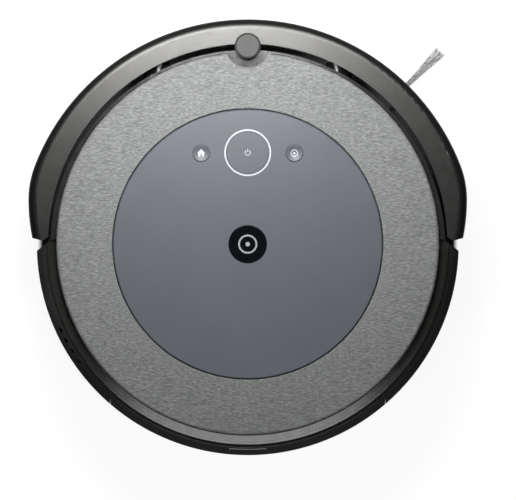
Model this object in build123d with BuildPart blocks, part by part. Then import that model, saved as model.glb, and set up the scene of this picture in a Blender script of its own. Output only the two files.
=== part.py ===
from build123d import *
from math import asin, cos, degrees, hypot, radians, sin, sqrt
import os

# Disc-shaped robot vacuum cleaner, in millimetres. +X is the machine's right, +Y its front, +Z up,
# and the floor is z = 0. Plan sizes are measured from the upright axis that the top ring, the faceplate
# and the rear wall share, which is also the axis midway between the drive wheels.

# ---------------------------------------------------------------- driving sizes
# Fits
WALL = 2.5  # moulded housing wall
GAP = 0.3  # clearance between pieces that move or lift apart
SHAFT_GAP = 0.05  # radial clearance of a shaft in its hole

# Heights of the body
BASE_Z = 10.0  # underside above the floor
WIDE_Z = 24.0  # where the side wall is widest
SEAM_Z = 26.0  # joint of chassis and housing
RIM_Z = 86.5  # top of the raised rim
GROOVE_DEPTH = 4.0  # rim above the deck
LIP_DROP = 1.5  # front lip below the rim

# Plan of the body
RING_R = 147.2  # outer radius of the woven ring
GROOVE_W = 5.0  # groove between the ring and the rear rim
RIM_W = 3.3  # width of the rim's top
FLARE = 7.4  # how far the wall leans out on its way down
BASE_TUCK = 9.9  # how far the underside's edge is tucked in
FRONT_SHIFT = -2.5  # centre of the front wall and of the bumper, behind the axis
FRONT_LIP = 4.6  # front wall beyond the ring, before the shift
DECK_HOLE_R = 30.0  # cable hole in the deck
NOTCH_IN = (153.4, 1.5)  # slanted step behind each end of the bumper, inner point
NOTCH_OUT = (162.2, -4.7)  # the same, outer point

# Top ring, faceplate and controls
RING_RISE = 7.5  # ring's inner edge above the deck
RING_FALL = 1.2  # lower by this much at its outer edge
PLATE_R = 103.6
PLATE_GAP = 0.6  # ring's bore beyond the faceplate
PLATE_TOP = 8.0  # faceplate's top above the deck
PLATE_T = 3.0
PLATE_CHAMFER = 0.8
BADGE_R = 14.75
BADGE_T = 1.4
CLEAN_Y = 70.3
LIGHT_R = 18.0  # outer radius of the light ring
LIGHT_W = 1.3
SIDE_BUTTON = (35.8, 69.9)  # centre, right-hand one
SIDE_BUTTON_R = 6.8
DISH_R = 16.0  # sphere that hollows a small button
BUTTON_TRAVEL = 0.8
BOARD_R = 92.0
BOARD_T = 1.6

# Bumper
BUMPER_R = 175.4
BUMPER_CORNER_R = 73.0
BUMPER_CORNER_DEG = 21.0
BUMPER_SIDE_R = 150.0
BUMPER_END_IN = (157.6, 2.6)  # end face, inner point
BUMPER_END_OUT = (165.4, 4.6)  # end face, outer point
BUMPER_END_TIP = (153.0, 5.9)  # end of the slant that clears the step
BUMPER_MOUTH_R = 153.4  # inner edge
BUMPER_MOUTH_Y = 0.7
BUMPER_Z = 13.0
BUMPER_WALL = 3.0
BUMPER_FILLET = 6.5
BUMPER_TRAVEL = 3.5
WINDOW_Z = (30.0, 48.0)  # sensor window band
WINDOW_X = 120.0
WINDOW_T = 1.0
GUIDE_X = 70.0
GUIDE_Z = 52.0
GUIDE_R = 4.0
GUIDE_BACK = 118.0  # rear end of the guide posts
BOSS_R = 10.0
BOSS_Y = (112.0, 140.0)
SPRING_R = 6.0
SPRING_WIRE_R = 0.7
SPRING_POCKET = 9.0
PUCK_Y = 152.4
PUCK_R = 10.0
PUCK_LENS_H = 2.6
PUCK_CAP_H = 2.9
RECESS_Y = 151.5
RECESS_R = 16.75
RECESS_DEPTH = 6.0

# Drive wheels
TYRE_R = 36.0
TYRE_X = (106.0, 128.0)
HUB_R = 27.0
TREAD_COUNT = 24
TREAD_DEPTH = 1.6
WELL_X = (82.5, 133.5)
WELL_Y = (-44.0, 58.0)
WELL_WALL = 1.8
WELL_DROP = 4.0  # roof of the well below the deck's underside
PIVOT_Y = 44.0
PIVOT_Z = 34.0
PIVOT_R = 3.0
ARM_X = (85.5, 104.3)
AXLE_R = 4.0
DRIVE_MOTOR_R = 9.0
DRIVE_MOTOR_Y = (-8.0, 30.0)

# Caster
CASTER_Y = 117.0
CASTER_TRAIL = 8.0
CASTER_R = 15.0
CASTER_W = 14.0
CASTER_WELL_R = 26.5
CASTER_WELL_TOP = 36.0
CASTER_STEM_R = 5.0

# Cleaning head
HEAD_X = 81.0
HEAD_Y = (-63.0, 15.0)
HEAD_TOP = 38.0
ROLLER_R = 15.5
ROLLER_Z = 16.5
ROLLER_Y = (-7.5, -40.5)
ROLLER_X = 72.0
ROLLER_CORE_R = 9.0
ROLLER_SKIN_R = 12.8
BEARING_R = 5.4
VANE_COUNT = 6
VANE_TWIST = 66.0  # degrees from the middle to each end
DUCT_X = 45.0
DUCT_TOP = 62.0

# Side brush
BRUSH_XY = (97.0, 97.0)
BRUSH_REACH = 75.0
BRUSH_ARM_R = 32.0
BRUSH_FIRST_DEG = 45.0
BRUSH_HUB_R = 8.0
BRUSH_HUB_Z = (5.0, 9.6)

# Battery
BATTERY_X = 52.0
BATTERY_Y = (22.0, 80.0)
BATTERY_TOP = 44.0

# Dust bin
BAY_Y = -65.0  # rear face of the bay's front wall
BIN_X = 78.0
BIN_WALL = 2.0
COVER_X = 106.0
COVER_T = 3.0
BIN_DROP = 4.0  # bin's top below the deck's top
PORT_XY = (30.0, -104.0)
PORT_R = 15.0
RELEASE_X = 14.0
RELEASE_Z = (55.0, 68.0)
FILTER_Y = (-104.0, -72.0)
FILTER_Z = (26.0, 68.0)
FILTER_T = 13.0

# Fan
FAN_Y = -82.0
FAN_Z = 46.0
FAN_R = 25.0
FAN_X = (-110.0, -84.0)
FAN_MOTOR_R = 13.0
FAN_MOTOR_X = -124.0

# Floor sensors, contacts, speaker, screws
CLIFF_R = 139.0
CLIFF_DEGS = (30.0, 75.0, 105.0, 150.0)
CONTACT_XY = (38.0, 93.0)
CONTACT_SIZE = (20.0, 8.0)
TRACK_XY = (-72.0, 86.0)
SPEAKER_XY = (108.0, -76.0)
SPEAKER_R = 16.0
SCREW_SPOTS = ((66.0, 104.0), (-66.0, 104.0), (88.0, -58.0), (-88.0, -58.0))
BAY_SCREW_SPOTS = ((70.0, -122.0), (-70.0, -122.0))  # under the bin, so without a boss
SCREW_HEAD_R = 3.2

# ---------------------------------------------------------------- sizes that follow
RIM_INNER_R = RING_R + GROOVE_W
RIM_R = RIM_INNER_R + RIM_W
BODY_R = RIM_R + FLARE
BASE_R = BODY_R - BASE_TUCK
FRONT_R = RING_R + FRONT_LIP
DECK_Z = RIM_Z - GROOVE_DEPTH
DECK_UNDER = DECK_Z - WALL
BASE_TOP = BASE_Z + WALL
LIP_Z = RIM_Z - LIP_DROP
RIM_ROUND = 1.8  # rounding of the rim's outer edge
RIM_BREAK = 0.6  # bevel of its inner edge
RING_TOP = DECK_Z + RING_RISE
FACE_TOP = DECK_Z + PLATE_TOP
FACE_UNDER = FACE_TOP - PLATE_T
BOARD_TOP = DECK_Z + BOARD_T
BIN_TOP = DECK_Z - BIN_DROP - GAP
BIN_Z = BASE_TOP + GAP
BIN_FRONT = BAY_Y - WALL - GAP
BUMPER_TOP = RIM_Z
BUMPER_REACH = BUMPER_R + FRONT_SHIFT
WELL_TOP = DECK_UNDER - WELL_DROP

# The origin is under the middle of the whole machine, so the axis lies a little behind it.
BODY_Y = (BODY_R - BUMPER_REACH) / 2
BODY = Plane(origin=(0, BODY_Y, 0))
AXIS = Axis((0, BODY_Y, 0), (0, 0, 1))


# ---------------------------------------------------------------- helpers
def level(z):
    """Flat plane at height z, centred on the axis."""
    return BODY.offset(z)


def upright(y=0.0):
    """Upright plane across the machine; its sketch is in X and Z, and it extrudes to the rear."""
    return Plane(origin=(0, BODY_Y + y, 0), x_dir=(1, 0, 0), z_dir=(0, -1, 0))


def crosswise(x):
    """Upright plane along the machine; its sketch is in Y and Z, and it extrudes to the right."""
    return Plane(origin=(x, BODY_Y, 0), x_dir=(0, 1, 0), z_dir=(1, 0, 0))


def block(xs, ys, zs, mode=Mode.ADD):
    """Box between two values of X, of Y and of Z."""
    with Locations((sum(xs) / 2, sum(ys) / 2, sum(zs) / 2)):
        Box(abs(xs[1] - xs[0]), abs(ys[1] - ys[0]), abs(zs[1] - zs[0]), mode=mode)


def rod_x(xs, y, z, r, mode=Mode.ADD):
    """Cylinder along X."""
    with Locations((sum(xs) / 2, y, z)):
        Cylinder(r, abs(xs[1] - xs[0]), rotation=(0, 90, 0), mode=mode)


def rod_y(x, ys, z, r, mode=Mode.ADD):
    """Cylinder along Y."""
    with Locations((x, sum(ys) / 2, z)):
        Cylinder(r, abs(ys[1] - ys[0]), rotation=(90, 0, 0), mode=mode)


def rod_z(x, y, zs, r, mode=Mode.ADD):
    """Upright cylinder."""
    with Locations((x, y, sum(zs) / 2)):
        Cylinder(r, abs(zs[1] - zs[0]), mode=mode)


def skin_r(z):
    """Radius of the body's outer skin at height z."""
    if z < WIDE_Z:
        return BASE_R + (BODY_R - BASE_R) * (z - BASE_Z) / (WIDE_Z - BASE_Z)
    return BODY_R + (RIM_R - BODY_R) * (z - WIDE_Z) / (RIM_Z - WIDE_Z)


def skin_line(z_low, z_high, inset):
    """Points of the skin's section from z_low to z_high, moved inward by inset."""
    heights = [z_low] + [WIDE_Z] * (z_low < WIDE_Z < z_high) + [z_high]
    return [(skin_r(z) - inset, z) for z in heights]


def revolve_skin(z_low, z_high, inset, inner=None, mode=Mode.ADD):
    """Turned solid under the skin: solid to the axis, or a shell if an inner inset is given."""
    outer = skin_line(z_low, z_high, inset)
    back = [(0, z_high), (0, z_low)] if inner is None else skin_line(z_low, z_high, inner)[::-1]
    with BuildSketch(upright()) as section:
        Polygon(*outer, *back, align=None)
    revolve(section.sketch, axis=AXIS, mode=mode)


def front_region():
    """Sketch of all that lies in front of the slanted steps at the bumper's ends."""
    slope = (NOTCH_OUT[1] - NOTCH_IN[1]) / (NOTCH_OUT[0] - NOTCH_IN[0])
    near, far = NOTCH_IN[0] - 3, NOTCH_OUT[0] + 30
    y_near = NOTCH_IN[1] - 3 * slope
    y_far = NOTCH_OUT[1] + 30 * slope
    top = BUMPER_REACH + 30
    Polygon((-near, y_near), (near, y_near), (far, y_far), (far, top), (-far, top), (-far, y_far), align=None)


def front_disc(inset=0.0, mode=Mode.ADD):
    """Disc of the body's front wall."""
    with Locations((0, FRONT_SHIFT)):
        Circle(FRONT_R - inset, mode=mode)


def cut_front(z_low, z_high):
    """Cuts a turned body back to the front wall, where the bumper runs."""
    with BuildSketch(level(z_low)) as ahead:
        front_region()
        front_disc(mode=Mode.SUBTRACT)
    extrude(ahead.sketch, amount=z_high - z_low, mode=Mode.SUBTRACT)


def front_wall(z_low, z_high):
    """Upright front wall, from step to step."""
    with BuildSketch(level(z_low)) as wall:
        front_region()
        front_disc(mode=Mode.INTERSECT)
        front_disc(WALL, mode=Mode.SUBTRACT)
    extrude(wall.sketch, amount=z_high - z_low)


def coil(start, direction, length, radius, wire, turns):
    """Round-wire coil from a start point along a direction."""
    with BuildLine() as path:
        Helix(pitch=length / turns, height=length, radius=radius, center=start, direction=direction)
    with BuildSketch(Plane(origin=path.line @ 0, z_dir=path.line % 0)) as section:
        Circle(wire)
    sweep(section.sketch, path=path.line, is_frenet=True)


def save(builder, name):
    """Labels a finished piece and writes it."""
    builder.part.label = name
    export_step(builder.part, f"parts/{name}.step")


def save_pair(builder, name):
    """Writes the right-hand piece and its mirror image on the left."""
    save(builder, f"{name}_right")
    with BuildPart() as left:
        mirror(builder.part, about=Plane.YZ)
    save(left, f"{name}_left")


# ---------------------------------------------------------------- lower chassis
WELL_IN_X = (WELL_X[0] + WELL_WALL, WELL_X[1] - WELL_WALL)
WELL_IN_Y = (WELL_Y[0] + WELL_WALL, WELL_Y[1] - WELL_WALL)
BATTERY_BAY = (-BATTERY_X - 3, BATTERY_X + 3)
BATTERY_BAY_Y = (BATTERY_Y[0] - 3, BATTERY_Y[1] + 3)
RELIEF = 1.5  # depth of the seats for windows and contacts
BIN_WINDOW_X = 60.0
BIN_WINDOW_Y = (-128.0, BIN_FRONT - 4)

with BuildPart(BODY) as chassis:
    # floor plate and skirt of the rear half, then the front wall
    with BuildSketch(upright()):
        with BuildLine():
            Polyline(
                (0, BASE_Z),
                *skin_line(BASE_Z, SEAM_Z, 0),
                (skin_r(SEAM_Z) - WALL, SEAM_Z),
                (skin_r(WIDE_Z) - WALL, WIDE_Z),
                (skin_r(BASE_TOP) - WALL, BASE_TOP),
                (0, BASE_TOP),
                close=True,
            )
        make_face()
    revolve(axis=AXIS)
    cut_front(BASE_Z, SEAM_Z)
    front_wall(BASE_TOP, SEAM_Z)
    # holes for the wheels, head, battery and the emptying port
    for side in (-1, 1):
        block([side * x for x in WELL_IN_X], WELL_IN_Y, (BASE_Z, BASE_TOP), mode=Mode.SUBTRACT)
    head_y = (HEAD_Y[0] - GAP, HEAD_Y[1] + GAP)
    block((-HEAD_X - GAP, HEAD_X + GAP), head_y, (BASE_Z, BASE_TOP), mode=Mode.SUBTRACT)
    block(BATTERY_BAY, BATTERY_BAY_Y, (BASE_Z, BASE_TOP), mode=Mode.SUBTRACT)
    block((-BIN_WINDOW_X, BIN_WINDOW_X), BIN_WINDOW_Y, (BASE_Z, BASE_TOP), mode=Mode.SUBTRACT)
    # rear mouth of the bin bay
    mouth_y = (-BODY_R - 5, BIN_FRONT - 30)
    block((-COVER_X - GAP, COVER_X + GAP), mouth_y, (BASE_TOP, SEAM_Z), mode=Mode.SUBTRACT)
    # walls of the bin bay, with the inlet and the fan's port
    bay_x = BIN_X + GAP
    bay_rear = -sqrt((skin_r(BASE_TOP) - COVER_T - WALL) ** 2 - (bay_x + WALL) ** 2)
    bay_top = DECK_UNDER - GAP
    block((-bay_x - WALL, bay_x + WALL), (BAY_Y - WALL, BAY_Y), (BASE_TOP, bay_top))
    for side in (-1, 1):
        block((side * bay_x, side * (bay_x + WALL)), (bay_rear, BAY_Y), (BASE_TOP, bay_top))
    block((-DUCT_X + 2, DUCT_X - 2), (BAY_Y - WALL, BAY_Y), (HEAD_TOP + 2, DUCT_TOP - 2), mode=Mode.SUBTRACT)
    rod_x((-bay_x - WALL, -bay_x), FAN_Y, FAN_Z, FAN_MOTOR_R, mode=Mode.SUBTRACT)
    # battery tray
    with BuildSketch(level(BASE_TOP)):
        with Locations((0, sum(BATTERY_BAY_Y) / 2)):
            tray = (BATTERY_BAY[1] - BATTERY_BAY[0], BATTERY_BAY_Y[1] - BATTERY_BAY_Y[0])
            Rectangle(tray[0] + 2 * WALL, tray[1] + 2 * WALL)
            Rectangle(*tray, mode=Mode.SUBTRACT)
    extrude(amount=14)
    # caster well and its socket
    rod_z(0, CASTER_Y, (BASE_TOP, CASTER_WELL_TOP), CASTER_WELL_R + WALL)
    rod_z(0, CASTER_Y, (CASTER_WELL_TOP, CASTER_WELL_TOP + 16), CASTER_STEM_R + 4)
    rod_z(0, CASTER_Y, (BASE_Z, CASTER_WELL_TOP - WALL), CASTER_WELL_R, mode=Mode.SUBTRACT)
    rod_z(0, CASTER_Y, (BASE_Z, CASTER_WELL_TOP + 14), CASTER_STEM_R + SHAFT_GAP, mode=Mode.SUBTRACT)
    # hole for the side brush's shaft, speaker grille
    rod_z(*BRUSH_XY, (BASE_Z, BASE_TOP), 4.5, mode=Mode.SUBTRACT)
    with Locations((*SPEAKER_XY, BASE_Z + WALL / 2)):
        for ring_r, count in ((0, 1), (5, 6), (10, 12)):
            with PolarLocations(ring_r, count):
                Cylinder(1.4, WALL, mode=Mode.SUBTRACT)
    # seats of the windows and contacts
    for angle in CLIFF_DEGS:
        with BuildSketch(level(BASE_Z)):
            with PolarLocations(CLIFF_R, 1, start_angle=angle):
                Rectangle(8 + 2 * GAP, 20 + 2 * GAP)
        extrude(amount=RELIEF, mode=Mode.SUBTRACT)
    rod_z(*TRACK_XY, (BASE_Z, BASE_Z + RELIEF), 6 + GAP, mode=Mode.SUBTRACT)
    for side in (-1, 1):
        with BuildSketch(level(BASE_Z)):
            with Locations((side * CONTACT_XY[0], CONTACT_XY[1])):
                Rectangle(CONTACT_SIZE[0] + 2 * GAP, CONTACT_SIZE[1] + 2 * GAP)
        extrude(amount=RELIEF, mode=Mode.SUBTRACT)
    # screw bosses
    for spot in SCREW_SPOTS:
        rod_z(*spot, (BASE_TOP, SEAM_Z), 4.5)
    for spot in SCREW_SPOTS + BAY_SCREW_SPOTS:
        rod_z(*spot, (BASE_Z, BASE_Z + RELIEF), SCREW_HEAD_R + GAP, mode=Mode.SUBTRACT)
save(chassis, "lower_chassis")

# ---------------------------------------------------------------- upper housing
MAIN_BOARD_Z = (DECK_UNDER - 14.0, DECK_UNDER - 12.4)
MAIN_BOARD_Y = (24.0, 98.0)
POSTS = [(x, y) for x in (-52.0, 52.0) for y in (30.0, 92.0)]

with BuildPart(BODY) as housing:
    # side wall, rim and deck in one section
    with BuildSketch(upright()) as section:
        with BuildLine():
            Polyline(
                (skin_r(SEAM_Z), SEAM_Z),
                (RIM_R, RIM_Z),
                (RIM_INNER_R, RIM_Z),
                (RIM_INNER_R, DECK_Z),
                (DECK_HOLE_R, DECK_Z),
                (DECK_HOLE_R, DECK_UNDER),
                (skin_r(DECK_UNDER) - WALL, DECK_UNDER),
                (skin_r(SEAM_Z) - WALL, SEAM_Z),
                close=True,
            )
        make_face()
        rim_inner, rim_outer = section.vertices().group_by(Axis.Y)[-1].sort_by(Axis.X)
        fillet(rim_outer, radius=RIM_ROUND)
        chamfer(rim_inner, length=RIM_BREAK)
    revolve(axis=AXIS)
    cut_front(SEAM_Z, RIM_Z + WALL)
    front_wall(SEAM_Z, DECK_Z)
    # lip around the front of the ring
    with BuildSketch(level(DECK_Z)):
        front_region()
        front_disc(mode=Mode.INTERSECT)
        Circle(RING_R + GAP, mode=Mode.SUBTRACT)
    extrude(amount=LIP_Z - DECK_Z)
    # rear mouth for the dust bin
    mouth_z = (SEAM_Z, BIN_TOP + 2 * GAP)
    block((-COVER_X - GAP, COVER_X + GAP), (-BODY_R - 5, BIN_FRONT - 30), mouth_z, mode=Mode.SUBTRACT)
    # sunk seat that clears the puck
    with BuildSketch(level(DECK_Z - RECESS_DEPTH - WALL)):
        with Locations((0, RECESS_Y)):
            Circle(RECESS_R + WALL)
        front_disc(WALL / 2, mode=Mode.INTERSECT)
    extrude(amount=RECESS_DEPTH + WALL / 2)
    rod_z(0, RECESS_Y, (DECK_Z - RECESS_DEPTH, RIM_Z), RECESS_R, mode=Mode.SUBTRACT)
    # bushings of the bumper's guide posts
    for side in (-1, 1):
        rod_y(side * GUIDE_X, BOSS_Y, GUIDE_Z, BOSS_R)
        pocket = (BOSS_Y[1] - SPRING_POCKET, BOSS_Y[1])
        rod_y(side * GUIDE_X, pocket, GUIDE_Z, SPRING_R + 1.5, mode=Mode.SUBTRACT)
        rod_y(side * GUIDE_X, BOSS_Y, GUIDE_Z, GUIDE_R + SHAFT_GAP, mode=Mode.SUBTRACT)
    # posts that carry the main board
    for spot in POSTS:
        rod_z(*spot, (MAIN_BOARD_Z[1], DECK_UNDER), 3)
    # exhaust slots beside the fan
    for step in range(4):
        with Locations((-BODY_R + 22, FAN_Y + 16 - 8 * step, DECK_UNDER - 16)):
            Box(34, 3, 18, mode=Mode.SUBTRACT)
save(housing, "upper_housing")

# ---------------------------------------------------------------- ring, faceplate, badge, light ring
RING_BORE = PLATE_R + PLATE_GAP

with BuildPart(BODY) as ring:
    with BuildSketch(upright()):
        with BuildLine():
            Polyline(
                (RING_BORE, DECK_Z),
                (RING_R, DECK_Z),
                (RING_R, RING_TOP - RING_FALL),
                (RING_BORE, RING_TOP),
                close=True,
            )
        make_face()
    revolve(axis=AXIS)
    fillet(ring.edges().filter_by(GeomType.CIRCLE).sort_by(Axis.Z)[-2], radius=2.4)
    fillet(ring.edges().filter_by(GeomType.CIRCLE).sort_by(Axis.Z)[-1], radius=0.7)
    with Locations((0, RECESS_Y, (DECK_Z + RING_TOP) / 2)):
        height = RING_TOP - DECK_Z
        Cone(RECESS_R - 1.2, RECESS_R + 0.2, height, mode=Mode.SUBTRACT)
save(ring, "fabric_ring")

with BuildPart(BODY) as faceplate:
    with BuildSketch(level(FACE_UNDER)):
        Circle(PLATE_R)
        with Locations((0, CLEAN_Y)):
            Circle(LIGHT_R + 0.1, mode=Mode.SUBTRACT)
        with Locations((-SIDE_BUTTON[0], SIDE_BUTTON[1]), SIDE_BUTTON):
            Circle(SIDE_BUTTON_R, mode=Mode.SUBTRACT)
    extrude(amount=PLATE_T)
    with BuildSketch(level(DECK_Z)):
        Circle(PLATE_R)
        Circle(PLATE_R - 3, mode=Mode.SUBTRACT)
    extrude(amount=FACE_UNDER - DECK_Z)
    chamfer(faceplate.edges().group_by(Axis.Z)[-1].sort_by(SortBy.LENGTH)[-1:], length=PLATE_CHAMFER)
    rod_z(0, 0, (FACE_TOP - BADGE_T, FACE_TOP), BADGE_R + 0.1, mode=Mode.SUBTRACT)
save(faceplate, "faceplate")

with BuildPart(BODY) as badge:
    rod_z(0, 0, (FACE_TOP - BADGE_T, FACE_TOP + 0.2), BADGE_R)
    fillet(badge.edges().sort_by(Axis.Z)[-1], radius=0.4)
save(badge, "badge")

with BuildPart(BODY) as light_ring:
    with BuildSketch(level(FACE_UNDER - 1)):
        with Locations((0, CLEAN_Y)):
            Circle(LIGHT_R)
            Circle(LIGHT_R - LIGHT_W, mode=Mode.SUBTRACT)
    extrude(amount=PLATE_T + 1.2)
    with BuildSketch(level(FACE_UNDER - 1)):
        with Locations((0, CLEAN_Y)):
            Circle(LIGHT_R + 1.5)
            Circle(LIGHT_R - LIGHT_W, mode=Mode.SUBTRACT)
    extrude(amount=1)
save(light_ring, "light_ring")

# ---------------------------------------------------------------- buttons and their board
BUTTON_SPOTS = {
    "clean_button": ((0.0, CLEAN_Y), LIGHT_R - LIGHT_W - GAP),
    "home_button": ((-SIDE_BUTTON[0], SIDE_BUTTON[1]), SIDE_BUTTON_R - GAP),
    "spot_button": (SIDE_BUTTON, SIDE_BUTTON_R - GAP),
}
SWITCH_H = 1.1
FLANGE_T = 1.0

for name, (spot, button_r) in BUTTON_SPOTS.items():
    dished = name != "clean_button"
    with BuildPart(BODY) as button:
        rod_z(*spot, (FACE_UNDER - GAP, FACE_TOP - 0.2), button_r)
        fillet(button.edges().sort_by(Axis.Z)[-1], radius=0.4)
        flange_r = button_r + 1.4 if dished else button_r
        rod_z(*spot, (FACE_UNDER - GAP - FLANGE_T, FACE_UNDER - GAP), flange_r)
        rod_z(*spot, (BOARD_TOP + SWITCH_H + BUTTON_TRAVEL + 0.1, FACE_UNDER - GAP), 2.0)
        if dished:
            with Locations((*spot, FACE_TOP + DISH_R - 1.3)):
                Sphere(DISH_R, mode=Mode.SUBTRACT)
    save(button, name)

with BuildPart(BODY) as control_board:
    with BuildSketch(level(DECK_Z)):
        Circle(BOARD_R)
        Circle(12, mode=Mode.SUBTRACT)
    extrude(amount=BOARD_T)
    for spot, _ in BUTTON_SPOTS.values():
        rod_z(*spot, (BOARD_TOP, BOARD_TOP + SWITCH_H), 3.0)
    for chip in ((-40.0, -30.0, 14.0), (30.0, -40.0, 18.0), (55.0, 20.0, 9.0)):
        with Locations((chip[0], chip[1], BOARD_TOP + 0.6)):
            Box(chip[2], chip[2], 1.2)
save(control_board, "control_board")

with BuildPart(BODY) as main_board:
    block((-62, 62), MAIN_BOARD_Y, MAIN_BOARD_Z)
    for x, y, size, height in ((-25, 70, 20, 2), (20, 60, 24, 2.4), (-30, 40, 10, 6), (35, 85, 12, 8)):
        block((x - size / 2, x + size / 2), (y - 5, y + 5), (MAIN_BOARD_Z[1], MAIN_BOARD_Z[1] + height))
    block((-60, -52), (50, 72), (MAIN_BOARD_Z[0] - 8, MAIN_BOARD_Z[0]))
save(main_board, "main_board")

# ---------------------------------------------------------------- bumper
corner_c = (
    (BUMPER_R - BUMPER_CORNER_R) * cos(radians(BUMPER_CORNER_DEG)),
    FRONT_SHIFT + (BUMPER_R - BUMPER_CORNER_R) * sin(radians(BUMPER_CORNER_DEG)),
)
side_c = (corner_c[0] + BUMPER_CORNER_R - BUMPER_SIDE_R, corner_c[1])
END_SLOPE = (BUMPER_END_OUT[1] - BUMPER_END_IN[1]) / (BUMPER_END_OUT[0] - BUMPER_END_IN[0])
OUTER_LINE_FROM = 9.5  # beyond the front wall, all edges are on the bumper's outer line
SIDE_DEG = degrees(asin((corner_c[1] - BUMPER_END_OUT[1] + 4) / BUMPER_SIDE_R))


def bumper_plan(inset=0.0):
    """Plan of all inside the bumper's outer line: front arc, corner arcs and side arcs, all tangent."""
    turn = BUMPER_CORNER_DEG
    side_r, corner_r, front_r = BUMPER_SIDE_R - inset, BUMPER_CORNER_R - inset, BUMPER_R - inset
    with BuildLine() as line:
        side = CenterArc(side_c, side_r, -SIDE_DEG, SIDE_DEG)
        CenterArc(corner_c, corner_r, 0, turn)
        CenterArc((0, FRONT_SHIFT), front_r, turn, 180 - 2 * turn)
        CenterArc((-corner_c[0], corner_c[1]), corner_r, 180 - turn, turn)
        left = CenterArc((-side_c[0], side_c[1]), side_r, 180, SIDE_DEG)
        Line(left @ 1, side @ 0)
    make_face(line.edges())


def behind_ends(inset=0.0):
    """Plan of all behind the bumper's slanted end faces, moved forward by inset."""
    far = BODY_R + 40
    y_far = BUMPER_END_IN[1] + END_SLOPE * (far - BUMPER_END_IN[0])
    right = [BUMPER_END_TIP, BUMPER_END_IN, (far, y_far), (far, -far)]
    left = [(-x, y) for x, y in reversed(right)]
    Polygon(*[(x, y + inset) for x, y in right + left], align=None, mode=Mode.SUBTRACT)


def outer_arcs(edges):
    """The long edges on the bumper's outer line."""
    reach = FRONT_R + OUTER_LINE_FROM
    return [e for e in edges if e.length > 20 and hypot((e @ 0.5).X, (e @ 0.5).Y - BODY_Y) > reach]


with BuildPart(BODY) as bumper:
    with BuildSketch(level(BUMPER_Z)):
        bumper_plan()
        behind_ends()
        with Locations((0, BUMPER_MOUTH_Y)):
            Circle(BUMPER_MOUTH_R, mode=Mode.SUBTRACT)
    extrude(amount=BUMPER_TOP - BUMPER_Z)
    # round the outer line's long arcs at the top and bevel them at the bottom
    fillet(outer_arcs(bumper.edges().group_by(Axis.Z)[-1]), radius=BUMPER_FILLET)
    chamfer(outer_arcs(bumper.edges().group_by(Axis.Z)[0]), length=BUMPER_WALL)
    with BuildSketch(level(BUMPER_Z + BUMPER_WALL)):
        bumper_plan(BUMPER_WALL)
        behind_ends(BUMPER_WALL)
        with Locations((0, BUMPER_MOUTH_Y)):
            Circle(BUMPER_MOUTH_R - 8, mode=Mode.SUBTRACT)
    extrude(amount=BUMPER_TOP - BUMPER_Z - 2 * BUMPER_WALL, mode=Mode.SUBTRACT)
    # tongue under the puck
    rod_z(0, PUCK_Y, (BUMPER_TOP - BUMPER_WALL, BUMPER_TOP), PUCK_R - 1)
    # guide posts
    for side in (-1, 1):
        front = FRONT_SHIFT + sqrt((BUMPER_R - BUMPER_WALL / 2) ** 2 - GUIDE_X**2)
        rod_y(side * GUIDE_X, (GUIDE_BACK, front), GUIDE_Z, GUIDE_R)
    # seat of the sensor window band
    with BuildSketch(level(WINDOW_Z[0])):
        bumper_plan(-5)
        with Locations((0, FRONT_SHIFT)):
            Circle(BUMPER_R - WINDOW_T, mode=Mode.SUBTRACT)
            Rectangle(2 * WINDOW_X, 4 * BUMPER_R, mode=Mode.INTERSECT)
        with Locations((0, -BUMPER_R)):
            Rectangle(3 * BUMPER_R, 2 * BUMPER_R, mode=Mode.SUBTRACT)
    extrude(amount=WINDOW_Z[1] - WINDOW_Z[0], mode=Mode.SUBTRACT)
save(bumper, "bumper_shell")

with BuildPart(BODY) as window:
    with BuildSketch(level(WINDOW_Z[0] + 0.1)):
        with Locations((0, FRONT_SHIFT)):
            Circle(BUMPER_R)
            Circle(BUMPER_R - WINDOW_T + 0.1, mode=Mode.SUBTRACT)
            Rectangle(2 * WINDOW_X - 0.4, 4 * BUMPER_R, mode=Mode.INTERSECT)
        with Locations((0, -BUMPER_R)):
            Rectangle(3 * BUMPER_R, 2 * BUMPER_R, mode=Mode.SUBTRACT)
    extrude(amount=WINDOW_Z[1] - WINDOW_Z[0] - 0.2)
save(window, "bumper_window")

with BuildPart(BODY) as springs:
    inner_r = BUMPER_R - BUMPER_WALL
    spring_front = FRONT_SHIFT + sqrt(inner_r**2 - (GUIDE_X + SPRING_R + 1) ** 2) - SPRING_WIRE_R - GAP / 3
    spring_back = BOSS_Y[1] - SPRING_POCKET + BUMPER_TRAVEL + 2 * SPRING_WIRE_R
    for side in (-1, 1):
        start = (side * GUIDE_X, BODY_Y + spring_back, GUIDE_Z)
        coil(start, (0, 1, 0), spring_front - spring_back, SPRING_R, SPRING_WIRE_R, 5)
save(springs, "bumper_springs")

with BuildPart(BODY) as lens:
    rod_z(0, PUCK_Y, (BUMPER_TOP, BUMPER_TOP + PUCK_LENS_H), PUCK_R - 0.6)
save(lens, "sensor_lens")

with BuildPart(BODY) as cap:
    rod_z(0, PUCK_Y, (BUMPER_TOP + PUCK_LENS_H, BUMPER_TOP + PUCK_LENS_H + PUCK_CAP_H), PUCK_R)
    chamfer(cap.edges().sort_by(Axis.Z)[-1], length=1.5)
save(cap, "sensor_cap")

with BuildPart(BODY) as bump_switches:
    for side in (-1, 1):
        x = side * GUIDE_X
        block((x - 6, x + 6), (BOSS_Y[0] - 9, BOSS_Y[0]), (GUIDE_Z - 7, GUIDE_Z + 7))
        rod_y(x, (BOSS_Y[0], GUIDE_BACK - BUMPER_TRAVEL - GAP), GUIDE_Z, 1.5)
save(bump_switches, "bump_switches")

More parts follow.
